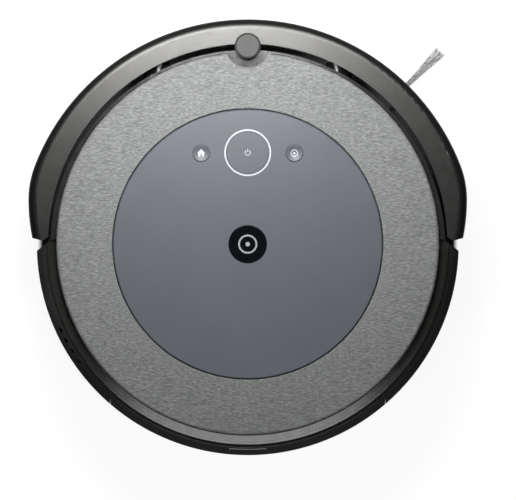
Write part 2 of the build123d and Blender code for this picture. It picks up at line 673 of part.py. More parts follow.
# ---------------------------------------------------------------- drive wheels
with BuildPart(BODY) as well:
    block(WELL_X, WELL_Y, (BASE_TOP, WELL_TOP))
    block(WELL_IN_X, WELL_IN_Y, (BASE_TOP, WELL_TOP - WELL_WALL), mode=Mode.SUBTRACT)
    # ears that carry the pivot pin
    lug_x = (ARM_X[1] + GAP, TYRE_X[0] + 2)
    block(lug_x, (PIVOT_Y - 4, PIVOT_Y + 5), (PIVOT_Z - 5, WELL_TOP - WELL_WALL))
    rod_x((WELL_X[0], lug_x[1]), PIVOT_Y, PIVOT_Z, PIVOT_R + 0.02, mode=Mode.SUBTRACT)
save_pair(well, "wheel_housing")

with BuildPart(BODY) as pins:
    for side in (-1, 1):
        rod_x([side * x for x in (WELL_X[0], lug_x[1])], PIVOT_Y, PIVOT_Z, PIVOT_R)
save(pins, "suspension_pins")

with BuildPart(BODY) as arm:
    with BuildSketch(crosswise(ARM_X[0])):
        with BuildLine():
            Polyline((-12, TYRE_R - 13), (6, TYRE_R - 16), (PIVOT_Y + 2, PIVOT_Z - 9),
                     (PIVOT_Y + 9, PIVOT_Z - 2), (PIVOT_Y + 9, PIVOT_Z + 4),
                     (PIVOT_Y, PIVOT_Z + 10), (30, 54), (-8, 54), (-14, TYRE_R + 8),
                     close=True)
        make_face()
    extrude(amount=ARM_X[1] - ARM_X[0])
    motor_axis = (sum(ARM_X) / 2, 54 + DRIVE_MOTOR_R - 3)
    rod_y(motor_axis[0], DRIVE_MOTOR_Y, motor_axis[1], DRIVE_MOTOR_R + 0.2, mode=Mode.SUBTRACT)
    rod_x(ARM_X, PIVOT_Y, PIVOT_Z, PIVOT_R + SHAFT_GAP, mode=Mode.SUBTRACT)
    rod_x(ARM_X, 0, TYRE_R, AXLE_R + SHAFT_GAP, mode=Mode.SUBTRACT)
    slot_y = (PIVOT_Y - 14, PIVOT_Y - 8)
    block((ARM_X[0], ARM_X[0] + 1.2), slot_y, (PIVOT_Z - 6, PIVOT_Z + 6), mode=Mode.SUBTRACT)
save_pair(arm, "drive_arm")

with BuildPart(BODY) as drive_motor:
    rod_y(motor_axis[0], (DRIVE_MOTOR_Y[0] + 0.2, DRIVE_MOTOR_Y[1]), motor_axis[1], DRIVE_MOTOR_R)
    rod_y(motor_axis[0], (DRIVE_MOTOR_Y[1], DRIVE_MOTOR_Y[1] + 3), motor_axis[1], 3.5)
save_pair(drive_motor, "drive_motor")

with BuildPart(BODY) as hub:
    rod_x(TYRE_X, 0, TYRE_R, HUB_R - 0.1)
    rod_x((TYRE_X[1] - 6, TYRE_X[1]), 0, TYRE_R, HUB_R - 3, mode=Mode.SUBTRACT)
    rod_x((TYRE_X[1] - 6, TYRE_X[1] - 1), 0, TYRE_R, 8)
    with BuildSketch(crosswise(TYRE_X[1] - 6)):
        with Locations((0, TYRE_R)):
            with PolarLocations(HUB_R / 2, 5):
                Rectangle(HUB_R - 4, 4)
    extrude(amount=4)
    rod_x((ARM_X[0] + 1.5, TYRE_X[0]), 0, TYRE_R, AXLE_R)
save_pair(hub, "wheel_hub")

with BuildPart(BODY) as tyre:
    rod_x(TYRE_X, 0, TYRE_R, TYRE_R)
    chamfer(tyre.edges().filter_by(GeomType.CIRCLE), length=1.5)
    rod_x(TYRE_X, 0, TYRE_R, HUB_R, mode=Mode.SUBTRACT)
    with BuildSketch(crosswise(TYRE_X[0])):
        with Locations((0, TYRE_R)):
            with PolarLocations(TYRE_R, TREAD_COUNT, start_angle=90 + 180 / TREAD_COUNT):
                Rectangle(2 * TREAD_DEPTH, 3)
    extrude(amount=8, mode=Mode.SUBTRACT)
    with BuildSketch(crosswise(TYRE_X[1] - 8)):
        with Locations((0, TYRE_R)):
            with PolarLocations(TYRE_R, TREAD_COUNT, start_angle=90 + 180 / TREAD_COUNT):
                Rectangle(2 * TREAD_DEPTH, 3)
    extrude(amount=8, mode=Mode.SUBTRACT)
save_pair(tyre, "tyre")

with BuildPart(BODY) as drop_springs:
    for side in (-1, 1):
        start = (side * (lug_x[1] + SPRING_WIRE_R + 0.2), BODY_Y + PIVOT_Y, PIVOT_Z)
        rod_x([side * x for x in (lug_x[1], lug_x[1] + 8)], PIVOT_Y, PIVOT_Z, PIVOT_R - 0.8)
        coil(start, (side, 0, 0), 6, PIVOT_R + 0.3, SPRING_WIRE_R, 4)
save(drop_springs, "drop_springs")

# ---------------------------------------------------------------- caster
WHEEL_Y = CASTER_Y - CASTER_TRAIL

with BuildPart(BODY) as fork:
    crown = (CASTER_WELL_TOP - WALL - 2.0, CASTER_WELL_TOP - WALL - GAP)
    rod_z(0, CASTER_Y, crown, 16)
    rod_z(0, CASTER_Y, (crown[1], CASTER_WELL_TOP + 13), CASTER_STEM_R)
    for side in (-1, 1):
        x_range = (side * (CASTER_W / 2 + GAP), side * (CASTER_W / 2 + 3))
        block(x_range, (WHEEL_Y - 4, CASTER_Y + 8), (CASTER_R + 6, crown[1]))
        block(x_range, (WHEEL_Y - 4, WHEEL_Y + 4), (CASTER_R - 4, CASTER_R + 6))
        rod_x(x_range, WHEEL_Y, CASTER_R, 2.05, mode=Mode.SUBTRACT)
save(fork, "caster_fork")

with BuildPart(BODY) as caster_wheel:
    rod_x((-CASTER_W / 2, CASTER_W / 2), WHEEL_Y, CASTER_R, CASTER_R)
    fillet(caster_wheel.edges().filter_by(GeomType.CIRCLE), radius=2)
    rod_x((-CASTER_W / 2, CASTER_W / 2), WHEEL_Y, CASTER_R, 2.05, mode=Mode.SUBTRACT)
save(caster_wheel, "caster_wheel")

with BuildPart(BODY) as caster_axle:
    rod_x((-CASTER_W / 2 - 3, CASTER_W / 2 + 3), WHEEL_Y, CASTER_R, 2.0)
save(caster_axle, "caster_axle")

# ---------------------------------------------------------------- cleaning head
END_WALL = 5.0
CAVITY_GAP = 1.5
head_y = (HEAD_Y[0] + 1, HEAD_Y[1] - 1)
guard_z = (BASE_Z - 2.3, BASE_Z + 0.7)
SLOT_Y = (-31.0, -19.0)

with BuildPart(BODY) as head_frame:
    block((-HEAD_X + 1, HEAD_X - 1), head_y, (guard_z[1] + 2 * GAP, HEAD_TOP))
    cavity_x = (-HEAD_X + 1 + END_WALL, HEAD_X - 1 - END_WALL)
    for y in ROLLER_Y:
        rod_x(cavity_x, y, ROLLER_Z, ROLLER_R + CAVITY_GAP, mode=Mode.SUBTRACT)
        cavity_y = (y - ROLLER_R - CAVITY_GAP, y + ROLLER_R + CAVITY_GAP)
        block(cavity_x, cavity_y, (BASE_Z, ROLLER_Z), mode=Mode.SUBTRACT)
        for side in (-1, 1):
            pocket_x = (side * cavity_x[1], side * (cavity_x[1] + END_WALL - 1))
            rod_x(pocket_x, y, ROLLER_Z, BEARING_R + SHAFT_GAP, mode=Mode.SUBTRACT)
            block(pocket_x, (y - 3, y + 3), (BASE_Z, ROLLER_Z), mode=Mode.SUBTRACT)
    block((-DUCT_X + 2, DUCT_X - 2), SLOT_Y, (ROLLER_Z, HEAD_TOP), mode=Mode.SUBTRACT)
save(head_frame, "head_frame")

with BuildPart(BODY) as bearings:
    for y in ROLLER_Y:
        for side in (-1, 1):
            x_range = (side * (cavity_x[1] + 0.1), side * (cavity_x[1] + END_WALL - 1.1))
            rod_x(x_range, y, ROLLER_Z, BEARING_R)
            rod_x(x_range, y, ROLLER_Z, 2.5 + SHAFT_GAP, mode=Mode.SUBTRACT)
save(bearings, "roller_bearings")


def vane(y, turn, side):
    """One twisted blade of a roller, from the middle to an end, as ruled spans."""
    spans = 3
    stations = []
    for step in range(spans + 1):
        x = side * ROLLER_X * step / spans
        angle = turn + VANE_TWIST * step / spans
        with BuildSketch(crosswise(x)) as station:
            with Locations((y, ROLLER_Z)):
                with PolarLocations((ROLLER_CORE_R + 1.5 + ROLLER_R) / 2, 1, start_angle=angle):
                    Rectangle(ROLLER_R - ROLLER_CORE_R - 1.5, 2.6)
        stations.append(station.sketch)
    loft(stations, ruled=True)


for name, y, hand in (("front", ROLLER_Y[0], 0.0), ("rear", ROLLER_Y[1], 30.0)):
    with BuildPart(BODY) as core:
        rod_x((-ROLLER_X, ROLLER_X), y, ROLLER_Z, ROLLER_CORE_R)
        rod_x((-cavity_x[1] - 3, cavity_x[1] + 3), y, ROLLER_Z, 2.5)
        for side in (-1, 1):
            rod_x((side * ROLLER_X, side * (ROLLER_X + 2)), y, ROLLER_Z, ROLLER_SKIN_R)
    save(core, f"roller_{name}_core")
    with BuildPart(BODY) as sleeve:
        rod_x((-ROLLER_X, ROLLER_X), y, ROLLER_Z, ROLLER_SKIN_R)
        for index in range(VANE_COUNT):
            for side in (-1, 1):
                vane(y, hand + index * 360 / VANE_COUNT, side)
        rod_x((-ROLLER_X, ROLLER_X), y, ROLLER_Z, ROLLER_CORE_R + 0.1, mode=Mode.SUBTRACT)
    save(sleeve, f"roller_{name}_sleeve")

with BuildPart(BODY) as guard:
    block((-HEAD_X + 1, HEAD_X - 1), head_y, guard_z)
    rim_y = (ROLLER_Y[1] - ROLLER_R - 0.7, ROLLER_Y[0] + ROLLER_R + 0.7)
    block(cavity_x, rim_y, guard_z, mode=Mode.SUBTRACT)
    chamfer(guard.faces().sort_by(Axis.Z)[0].outer_wire().edges(), length=1.2)
    notch_y = (head_y[0], head_y[0] + 4)
    block((-12, 12), notch_y, guard_z, mode=Mode.SUBTRACT)
save(guard, "brush_guard")

with BuildPart(BODY) as latch:
    block((-12 + GAP, 12 - GAP), (notch_y[0] - 0.5, notch_y[1] - 2.5), (guard_z[0] - 0.8, guard_z[1]))
save(latch, "guard_latch")

with BuildPart(BODY) as head_motor:
    block((-HEAD_X + 3, -HEAD_X + 13), (ROLLER_Y[1] - 6, HEAD_Y[1] - 3), (HEAD_TOP, HEAD_TOP + 20))
    rod_x((-HEAD_X + 13, -20), 0, HEAD_TOP + 11, 11)
    rod_x((-20, -16), 0, HEAD_TOP + 11, 4)
save(head_motor, "head_motor")

with BuildPart(BODY) as duct:
    block((-DUCT_X, DUCT_X), (BAY_Y, SLOT_Y[1] + 2), (HEAD_TOP, DUCT_TOP))
    block((-DUCT_X + 2, DUCT_X - 2), (BAY_Y, SLOT_Y[1]), (HEAD_TOP + 2, DUCT_TOP - 2), mode=Mode.SUBTRACT)
    block((-DUCT_X + 2, DUCT_X - 2), SLOT_Y, (HEAD_TOP, HEAD_TOP + 2), mode=Mode.SUBTRACT)
    block((-DUCT_X, DUCT_X), (BAY_Y - WALL - GAP, BAY_Y + GAP), (HEAD_TOP, DUCT_TOP), mode=Mode.SUBTRACT)
save(duct, "suction_duct")

# ---------------------------------------------------------------- side brush
SHAFT_TOP = BASE_TOP + 10

with BuildPart(BODY) as brush_motor:
    with BuildSketch(level(BASE_TOP)):
        with Locations(BRUSH_XY):
            Circle(BRUSH_HUB_R + 1)
        with Locations((BRUSH_XY[0] - 18, BRUSH_XY[1] - 18)):
            Circle(15)
        make_hull()
    extrude(amount=14)
    rod_z(BRUSH_XY[0] - 18, BRUSH_XY[1] - 18, (BASE_TOP + 14, BASE_TOP + 32), 12)
    rod_z(*BRUSH_XY, (BASE_TOP, SHAFT_TOP + 1), 3 + SHAFT_GAP, mode=Mode.SUBTRACT)
save(brush_motor, "side_brush_motor")

BRUSH_DEGS = [BRUSH_FIRST_DEG + 120 * index for index in range(3)]
HUB_PLANE = level(BRUSH_HUB_Z[0] + 1)

with BuildPart(BODY) as brush_hub:
    rod_z(*BRUSH_XY, BRUSH_HUB_Z, BRUSH_HUB_R)
    for angle in BRUSH_DEGS:
        with BuildSketch(HUB_PLANE):
            with Locations(Location((*BRUSH_XY, 0), (0, 0, angle))):
                Polygon((0, -5), (BRUSH_ARM_R, -2.2), (BRUSH_ARM_R, 2.2), (0, 5), align=None)
        extrude(amount=3)
    rod_z(*BRUSH_XY, (BRUSH_HUB_Z[1], SHAFT_TOP), 3)
    rod_z(*BRUSH_XY, (BRUSH_HUB_Z[0], BRUSH_HUB_Z[0] + 1.6), 3.4, mode=Mode.SUBTRACT)
    rod_z(*BRUSH_XY, (BRUSH_HUB_Z[0], SHAFT_TOP - 2), 1.3, mode=Mode.SUBTRACT)
save(brush_hub, "side_brush_hub")

TUFT_ENDS = ((BRUSH_ARM_R + 0.2, 6.6, 3.2), (BRUSH_REACH, 1.6, 9.4))  # radius, height, width
TUFT_T = 2.4

with BuildPart(BODY) as bristles:
    for angle in BRUSH_DEGS:
        reach = Vector(cos(radians(angle)), sin(radians(angle)), 0)
        across = Vector(-reach.Y, reach.X, 0)
        for radius, height, width in TUFT_ENDS:
            middle = Vector(BRUSH_XY[0], BODY_Y + BRUSH_XY[1], height) + reach * radius
            with BuildSketch(Plane(origin=middle, x_dir=across, z_dir=reach)):
                Rectangle(width, TUFT_T)
        loft(ruled=True)
save(bristles, "side_brush_bristles")

with BuildPart(BODY) as brush_screw:
    rod_z(*BRUSH_XY, (BRUSH_HUB_Z[0] + 0.1, BRUSH_HUB_Z[0] + 1.6), 3.1)
    rod_z(*BRUSH_XY, (BRUSH_HUB_Z[0] + 1.6, SHAFT_TOP - 3), 1.2)
    with Locations((*BRUSH_XY, BRUSH_HUB_Z[0] + 0.4)):
        Box(4, 0.8, 0.9, mode=Mode.SUBTRACT)
        Box(0.8, 4, 0.9, mode=Mode.SUBTRACT)
save(brush_screw, "side_brush_screw")

# ---------------------------------------------------------------- battery and its door
with BuildPart(BODY) as battery:
    block((-BATTERY_X, BATTERY_X), BATTERY_Y, (BASE_TOP, BATTERY_TOP))
    fillet(battery.edges().filter_by(Axis.Z), radius=4)
save(battery, "battery_pack")

with BuildPart(BODY) as door:
    door_x = (BATTERY_BAY[0] + 2 * GAP, BATTERY_BAY[1] - 2 * GAP)
    block(door_x, (BATTERY_BAY_Y[0] + GAP, BATTERY_BAY_Y[1] - GAP), (BASE_Z, BASE_TOP))
    for side in (-1, 1):
        hole = (side * (BATTERY_X - 4), BATTERY_Y[1] - 4)
        rod_z(*hole, (BASE_Z, BASE_Z + 1), SCREW_HEAD_R, mode=Mode.SUBTRACT)
save(door, "battery_door")

# ---------------------------------------------------------------- dust bin
with BuildPart(BODY) as bin_space:
    revolve_skin(BIN_Z + BIN_WALL, BIN_TOP - BIN_WALL, COVER_T + 0.1 + BIN_WALL)
    space_y = (-BODY_R - 5, BIN_FRONT - BIN_WALL)
    block((-BIN_X + BIN_WALL, BIN_X - BIN_WALL), space_y, (0, RIM_Z), mode=Mode.INTERSECT)
    # solid block left for the well behind the release button
    rear = -skin_r(RELEASE_Z[0])
    box_z = (RELEASE_Z[0] - 3, RELEASE_Z[1] + 3)
    block((-RELEASE_X - 3, RELEASE_X + 3), (rear, rear + 12), box_z, mode=Mode.SUBTRACT)

with BuildPart(BODY) as bin_body:
    revolve_skin(BIN_Z, BIN_TOP, COVER_T + 0.1)
    block((-BIN_X, BIN_X), (-BODY_R - 5, BIN_FRONT), (0, RIM_Z), mode=Mode.INTERSECT)
    add(bin_space.part.moved(BODY.location.inverse()), mode=Mode.SUBTRACT)
    hollow_z = (RELEASE_Z[0] - 1, RELEASE_Z[1] + 1)
    block((-RELEASE_X - 1, RELEASE_X + 1), (rear - 5, rear + 9.5), hollow_z, mode=Mode.SUBTRACT)
    # inlet, filter port and emptying port
    inlet_z = (HEAD_TOP + 3, DUCT_TOP - 3)
    block((-DUCT_X + 3, DUCT_X - 3), (BIN_FRONT - BIN_WALL, BIN_FRONT), inlet_z, mode=Mode.SUBTRACT)
    rod_x((-BIN_X, -BIN_X + BIN_WALL), FAN_Y, FAN_Z, FAN_MOTOR_R - 1, mode=Mode.SUBTRACT)
    rod_z(*PORT_XY, (BIN_Z, BIN_Z + BIN_WALL), PORT_R, mode=Mode.SUBTRACT)
save(bin_body, "bin_body")

with BuildPart(BODY) as cover:
    revolve_skin(BIN_Z, BIN_TOP, 0, COVER_T)
    block((-COVER_X, COVER_X), (-BODY_R - 5, -BODY_R / 2), (0, RIM_Z), mode=Mode.INTERSECT)
    slot_z = (RELEASE_Z[0] - GAP, RELEASE_Z[1] + GAP)
    block((-RELEASE_X - GAP, RELEASE_X + GAP), (-BODY_R - 5, 0), slot_z, mode=Mode.SUBTRACT)
save(cover, "bin_cover")

with BuildPart(BODY) as release:
    revolve_skin(RELEASE_Z[0], RELEASE_Z[1], -0.4, COVER_T)
    block((-RELEASE_X, RELEASE_X), (-BODY_R - 5, 0), RELEASE_Z, mode=Mode.INTERSECT)
save(release, "bin_release")

with BuildPart(BODY) as filter_box:
    filter_x = (-BIN_X + BIN_WALL, -BIN_X + BIN_WALL + FILTER_T)
    block(filter_x, FILTER_Y, FILTER_Z)
    pleats = 10
    pitch = (FILTER_Y[1] - FILTER_Y[0] - 4) / pleats
    for index in range(pleats):
        y = FILTER_Y[0] + 2 + pitch * (index + 0.5)
        pleat_z = (FILTER_Z[0] + 2, FILTER_Z[1] - 2)
        block((filter_x[1] - 8, filter_x[1]), (y - pitch / 4, y + pitch / 4), pleat_z, mode=Mode.SUBTRACT)
save(filter_box, "bin_filter")

with BuildPart(BODY) as flap:
    flap_z = (BIN_Z + BIN_WALL + 0.2, BIN_Z + BIN_WALL + 1.7)
    side = PORT_R + 2
    block((PORT_XY[0] - side, PORT_XY[0] + side), (PORT_XY[1] - side, PORT_XY[1] + side), flap_z)
    rod_x((PORT_XY[0] - side, PORT_XY[0] + side), PORT_XY[1] - side, flap_z[0] + 1.2, 1.2)
save(flap, "evac_flap")

# ---------------------------------------------------------------- fan
with BuildPart(BODY) as fan_housing:
    rod_x(FAN_X, FAN_Y, FAN_Z, FAN_R)
    block((FAN_X[0] + 2, FAN_X[1] - 2), (FAN_Y - 18, FAN_Y + 18), (BASE_TOP, FAN_Z))
    block((FAN_X[0] - 10, FAN_X[1] - 4), (FAN_Y - 10, FAN_Y + 12), (FAN_Z + 14, FAN_Z + 25))
    rod_x((FAN_X[0] + 2, FAN_X[1] - 2), FAN_Y, FAN_Z, FAN_R - 2, mode=Mode.SUBTRACT)
    rod_x((FAN_X[1] - 2, FAN_X[1]), FAN_Y, FAN_Z, FAN_MOTOR_R, mode=Mode.SUBTRACT)
    rod_x((FAN_X[0], FAN_X[0] + 2), FAN_Y, FAN_Z, 4, mode=Mode.SUBTRACT)
    outlet_z = (FAN_Z + 16, FAN_Z + 23)
    block((FAN_X[0] - 10, FAN_X[1] - 6), (FAN_Y - 8, FAN_Y + 10), outlet_z, mode=Mode.SUBTRACT)
save(fan_housing, "blower_housing")

with BuildPart(BODY) as fan_motor:
    rod_x((FAN_MOTOR_X, FAN_X[0]), FAN_Y, FAN_Z, FAN_MOTOR_R)
    rod_x((FAN_X[0], FAN_X[0] + 1.5), FAN_Y, FAN_Z, 3.5)
    rod_x((FAN_MOTOR_X + 4, FAN_X[0] + 1.5), FAN_Y, FAN_Z, 2 + SHAFT_GAP, mode=Mode.SUBTRACT)
save(fan_motor, "blower_motor")

with BuildPart(BODY) as impeller:
    rod_x((FAN_X[0] + 3, FAN_X[0] + 5), FAN_Y, FAN_Z, FAN_R - 5)
    rod_x((FAN_X[0] + 5, FAN_X[1] - 6), FAN_Y, FAN_Z, 6)
    rod_x((FAN_MOTOR_X + 5, FAN_X[0] + 3), FAN_Y, FAN_Z, 2)
    with BuildSketch(crosswise(FAN_X[0] + 5)):
        with Locations((FAN_Y, FAN_Z)):
            with PolarLocations((FAN_R + 1) / 2, 9):
                with Locations(Location((0, 0, 0), (0, 0, 25))):
                    Rectangle(13, 1.4)
    extrude(amount=FAN_X[1] - FAN_X[0] - 12)
save(impeller, "impeller")

# ---------------------------------------------------------------- floor sensors, contacts, speaker, screws
with BuildPart(BODY) as windows:
    for angle in CLIFF_DEGS:
        with BuildSketch(level(BASE_Z - 0.3)):
            with PolarLocations(CLIFF_R, 1, start_angle=angle):
                Rectangle(8, 20)
        extrude(amount=RELIEF + 0.3)
    rod_z(*TRACK_XY, (BASE_Z - 0.3, BASE_Z + RELIEF), 6)
save(windows, "floor_sensor_windows")

with BuildPart(BODY) as contacts:
    with BuildSketch(level(BASE_Z - 0.5)):
        with Locations((-CONTACT_XY[0], CONTACT_XY[1]), CONTACT_XY):
            Rectangle(*CONTACT_SIZE)
    extrude(amount=RELIEF + 0.5)
save(contacts, "charging_contacts")

with BuildPart(BODY) as speaker:
    rod_z(*SPEAKER_XY, (BASE_TOP, BASE_TOP + 6), SPEAKER_R)
    rod_z(*SPEAKER_XY, (BASE_TOP + 6, BASE_TOP + 12), SPEAKER_R - 6)
    rod_z(*SPEAKER_XY, (BASE_TOP, BASE_TOP + 2), SPEAKER_R - 2, mode=Mode.SUBTRACT)
save(speaker, "speaker")

with BuildPart(BODY) as screws:
    for spot in SCREW_SPOTS + BAY_SCREW_SPOTS:
        rod_z(*spot, (BASE_Z + 0.1, BASE_Z + RELIEF), SCREW_HEAD_R)
        for turn in (0, 90):
            with Locations(Location((*spot, BASE_Z + 0.5), (0, 0, turn))):
                Box(4, 0.8, 0.8, mode=Mode.SUBTRACT)
save(screws, "chassis_screws")
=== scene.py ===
import bpy
import random
from math import cos, pi, radians, sin, sqrt
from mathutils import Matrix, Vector


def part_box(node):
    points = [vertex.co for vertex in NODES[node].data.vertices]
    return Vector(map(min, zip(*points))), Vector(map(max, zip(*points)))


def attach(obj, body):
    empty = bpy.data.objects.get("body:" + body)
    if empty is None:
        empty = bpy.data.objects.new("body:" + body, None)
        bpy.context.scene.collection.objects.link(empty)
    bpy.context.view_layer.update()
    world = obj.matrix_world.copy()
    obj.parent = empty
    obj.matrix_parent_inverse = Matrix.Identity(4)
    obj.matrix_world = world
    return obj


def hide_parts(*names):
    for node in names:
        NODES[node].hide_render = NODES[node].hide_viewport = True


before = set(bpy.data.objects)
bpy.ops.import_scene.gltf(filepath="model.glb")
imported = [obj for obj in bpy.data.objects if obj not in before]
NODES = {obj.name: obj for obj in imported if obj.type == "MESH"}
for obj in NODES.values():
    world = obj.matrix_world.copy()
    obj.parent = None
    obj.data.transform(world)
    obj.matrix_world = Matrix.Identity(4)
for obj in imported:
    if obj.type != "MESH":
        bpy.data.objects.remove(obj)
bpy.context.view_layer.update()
MM = 0.001


# ---------------------------------------------------------------- material helpers
class Graph:
    """A material's node tree with short calls for the nodes that the surfaces here share."""

    def __init__(self, name):
        self.material = bpy.data.materials.new(name)
        self.material.use_nodes = True
        self.tree = self.material.node_tree
        self.shader = self.tree.nodes["Principled BSDF"]
        self.place = self.add("ShaderNodeTexCoord").outputs["Object"]

    def add(self, kind, **settings):
        node = self.tree.nodes.new(kind)
        for key, value in settings.items():
            setattr(node, key, value)
        return node

    def link(self, a, b):
        self.tree.links.new(a, b)

    def set(self, **values):
        """Uniform values, set straight on the shader."""
        for key, value in values.items():
            self.shader.inputs[key.replace("_", " ")].default_value = value

    def stretched(self, scale, turn=(0, 0, 0)):
        """Object coordinates scaled to repeats per metre."""
        node = self.add("ShaderNodeMapping")
        node.inputs["Scale"].default_value = scale
        node.inputs["Rotation"].default_value = turn
        self.link(self.place, node.inputs["Vector"])
        return node.outputs["Vector"]

    def noise(self, scale, detail=3.0, rough=0.55):
        node = self.add("ShaderNodeTexNoise")
        node.inputs["Scale"].default_value = 1.0
        node.inputs["Detail"].default_value = detail
        node.inputs["Roughness"].default_value = rough
        size = scale if isinstance(scale, tuple) else (scale, scale, scale)
        self.link(self.stretched(size), node.inputs["Vector"])
        return node.outputs["Fac"]

    def wave(self, scale, direction, distortion=0.0):
        node = self.add("ShaderNodeTexWave", bands_direction=direction)
        node.inputs["Scale"].default_value = scale
        node.inputs["Distortion"].default_value = distortion
        self.link(self.place, node.inputs["Vector"])
        return node.outputs["Fac"]

    def cells(self, scale):
        node = self.add("ShaderNodeTexVoronoi", feature="F1")
        node.inputs["Scale"].default_value = scale
        self.link(self.place, node.inputs["Vector"])
        return node.outputs["Distance"]

    def ramp(self, value, stops):
        node = self.add("ShaderNodeValToRGB")
        elements = node.color_ramp.elements
        while len(elements) < len(stops):
            elements.new(0.5)
        for element, (at, colour) in zip(elements, stops):
            element.position = at
            element.color = (*colour, 1.0)
        self.link(value, node.inputs["Fac"])
        return node.outputs["Color"]

    def span(self, value, low, high, source=(0.3, 0.7)):
        node = self.add("ShaderNodeMapRange")
        node.inputs["From Min"].default_value = source[0]
        node.inputs["From Max"].default_value = source[1]
        node.inputs["To Min"].default_value = low
        node.inputs["To Max"].default_value = high
        self.link(value, node.inputs["Value"])
        return node.outputs["Result"]

    def mix(self, factor, a, b):
        node = self.add("ShaderNodeMix", data_type="RGBA", blend_type="MIX")
        if isinstance(factor, float):
            node.inputs["Factor"].default_value = factor
        else:
            self.link(factor, node.inputs["Factor"])
        for socket, value in ((node.inputs[6], a), (node.inputs[7], b)):
            if isinstance(value, tuple):
                socket.default_value = (*value, 1.0)
            else:
                self.link(value, socket)
        return node.outputs[2]

    def maths(self, kind, a, b):
        node = self.add("ShaderNodeMath", operation=kind)
        for socket, value in ((node.inputs[0], a), (node.inputs[1], b)):
            if isinstance(value, (int, float)):
                socket.default_value = value
            else:
                self.link(value, socket)
        return node.outputs["Value"]

    def bump(self, height, distance, strength=1.0):
        node = self.add("ShaderNodeBump")
        node.inputs["Strength"].default_value = strength
        node.inputs["Distance"].default_value = distance
        self.link(height, node.inputs["Height"])
        self.link(node.outputs["Normal"], self.shader.inputs["Normal"])

    def colour(self, socket):
        self.link(socket, self.shader.inputs["Base Color"])

    def roughness(self, socket):
        self.link(socket, self.shader.inputs["Roughness"])


def shade(colour, by):
    return tuple(min(1.0, c * by) for c in colour)


CLOUD_SPREAD = 0.18  # how far flow clouds lighten and darken moulded plastic


def moulded(name, base, rough=0.45, grain=2600.0, depth=0.00004, **fixed):
    """Moulded plastic: fine spark-eroded grain, faint flow clouds, rubbed and duller patches."""
    g = Graph(name)
    fine = g.noise(grain, 2.0)
    cloud = g.noise(38.0, 4.0)
    tint = g.ramp(cloud, [(0.3, shade(base, 1 - CLOUD_SPREAD)), (0.7, shade(base, 1 + CLOUD_SPREAD))])
    g.colour(g.mix(g.span(fine, 0.0, 0.35), tint, shade(base, 1 - 2 * CLOUD_SPREAD)))
    g.roughness(g.span(g.noise(85.0, 5.0), rough - 0.07, rough + 0.08))
    g.bump(fine, depth)
    g.set(**fixed)
    return g.material


def metal(name, base, rough=0.3, stretch=(300.0, 300.0, 4200.0)):
    """Bare metal with drawn or turned lines and small tarnish patches."""
    g = Graph(name)
    lines = g.noise(stretch, 4.0)
    patches = g.noise(140.0, 4.0)
    bright = g.ramp(lines, [(0.25, shade(base, 0.75)), (0.75, shade(base, 1.1))])
    g.colour(g.mix(g.span(patches, 0.0, 0.45, (0.5, 0.75)), bright, shade(base, 0.55)))
    g.roughness(g.span(lines, rough - 0.08, rough + 0.14))
    g.bump(lines, 0.00003)
    g.set(Metallic=1.0)
    return g.material


# ---------------------------------------------------------------- materials of the outside
def graphite_shell():
    """Metallic graphite paint: fine flake, faint polishing haze, a trace of rub marks."""
    g = Graph("graphite_paint")
    flake = g.cells(5200.0)
    haze = g.noise(55.0, 4.0)
    base = g.ramp(haze, [(0.3, (0.072, 0.071, 0.069)), (0.7, (0.082, 0.081, 0.078))])
    g.colour(g.mix(g.span(flake, 0.0, 0.3, (0.15, 0.6)), base, (0.110, 0.109, 0.106)))
    g.roughness(g.span(g.noise(260.0, 3.0), 0.33, 0.37))
    g.bump(g.noise(1900.0, 3.0), 0.000008)
    g.set(Metallic=0.9)
    return g.material


def body_black():
    """Semi-gloss black housing."""
    g = Graph("body_black")
    fine = g.noise(3000.0, 2.0)
    cloud = g.noise(30.0, 3.0)
    g.colour(g.ramp(cloud, [(0.3, (0.020, 0.020, 0.018)), (0.7, (0.030, 0.030, 0.027))]))
    g.roughness(g.span(g.noise(120.0, 4.0), 0.14, 0.20))
    g.bump(fine, 0.000008)
    g.set(Specular_IOR_Level=0.9)
    return g.material


def woven_ring():
    """Heather-grey weave: short threads side by side, lighter and darker yarns, fine fibre grain."""
    g = Graph("woven_heather")
    threads = g.noise((330.0, 1250.0, 600.0), 2.5, 0.6)
    speckle = g.noise((1150.0, 1350.0, 900.0), 2.0, 0.7)
    yarns = g.noise((120.0, 620.0, 200.0), 3.0, 0.65)
    body = g.ramp(
        threads,
        [(0.34, (0.130, 0.136, 0.136)), (0.5, (0.245, 0.252, 0.250)), (0.66, (0.400, 0.405, 0.400))],
    )
    mixed = g.mix(g.span(speckle, 0.0, 0.6, (0.36, 0.66)), body, (0.345, 0.352, 0.348))
    g.colour(g.mix(g.span(yarns, 0.0, 0.42, (0.5, 0.72)), mixed, (0.130, 0.138, 0.138)))
    cloth = g.maths("MULTIPLY", g.wave(430.0, "Y", 1.2), g.wave(290.0, "X", 1.5))
    g.bump(g.maths("ADD", g.maths("MULTIPLY", cloth, 0.35), threads), 0.00035, 0.85)
    g.roughness(g.span(speckle, 0.62, 0.9))
    g.set(Sheen_Weight=0.22, Sheen_Roughness=0.45)
    return g.material


def satin_plate(name, base):
    """Satin blue-grey paint over plastic, with fine pearl and a soft haze."""
    g = Graph(name)
    pearl = g.cells(4200.0)
    haze = g.noise(22.0, 3.0)
    tint = g.ramp(haze, [(0.3, shade(base, 0.95)), (0.7, shade(base, 1.05))])
    g.colour(g.mix(g.span(pearl, 0.0, 0.3, (0.15, 0.6)), tint, shade(base, 1.28)))
    g.roughness(g.span(g.noise(240.0, 4.0), 0.42, 0.48))
    g.bump(g.noise(2400.0, 2.0), 0.00002)
    g.set(Metallic=0.2)
    return g.material


GLOSS_TINT = (0.004, 0.005, 0.006)


